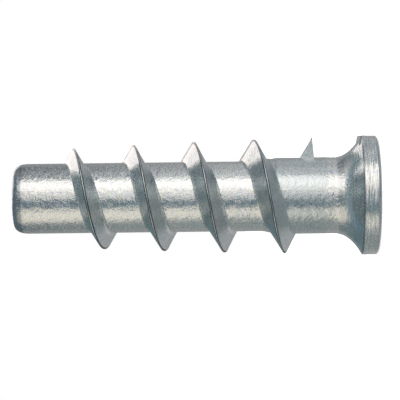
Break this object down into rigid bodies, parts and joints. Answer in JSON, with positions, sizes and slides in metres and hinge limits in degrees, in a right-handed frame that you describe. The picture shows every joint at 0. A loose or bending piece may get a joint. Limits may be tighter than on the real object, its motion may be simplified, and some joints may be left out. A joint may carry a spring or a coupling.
{
  "type": "aerated concrete anchor",
  "caption": "Screw-in anchor for aerated concrete, die cast in zinc, with a coarse knife-edged thread, a flange, a hexagon drive socket and a bore for a metric screw.",
  "frame": {"origin": "centre of the head face, which the anchor stands on", "axes": "+Z along the anchor's axis from the head to the nose; the outer thread ends at +X, on the die's parting plane, which is the XZ plane"},
  "size_m": [0.0196, 0.0196, 0.06],
  "materials": {
    "zinc": "die-cast zinc with a thin bright passivation, satin with a faint mottled tint"
  },
  "bodies": {
    "root": {"anchor_body": "zinc"}
  },
  "joints": []
}
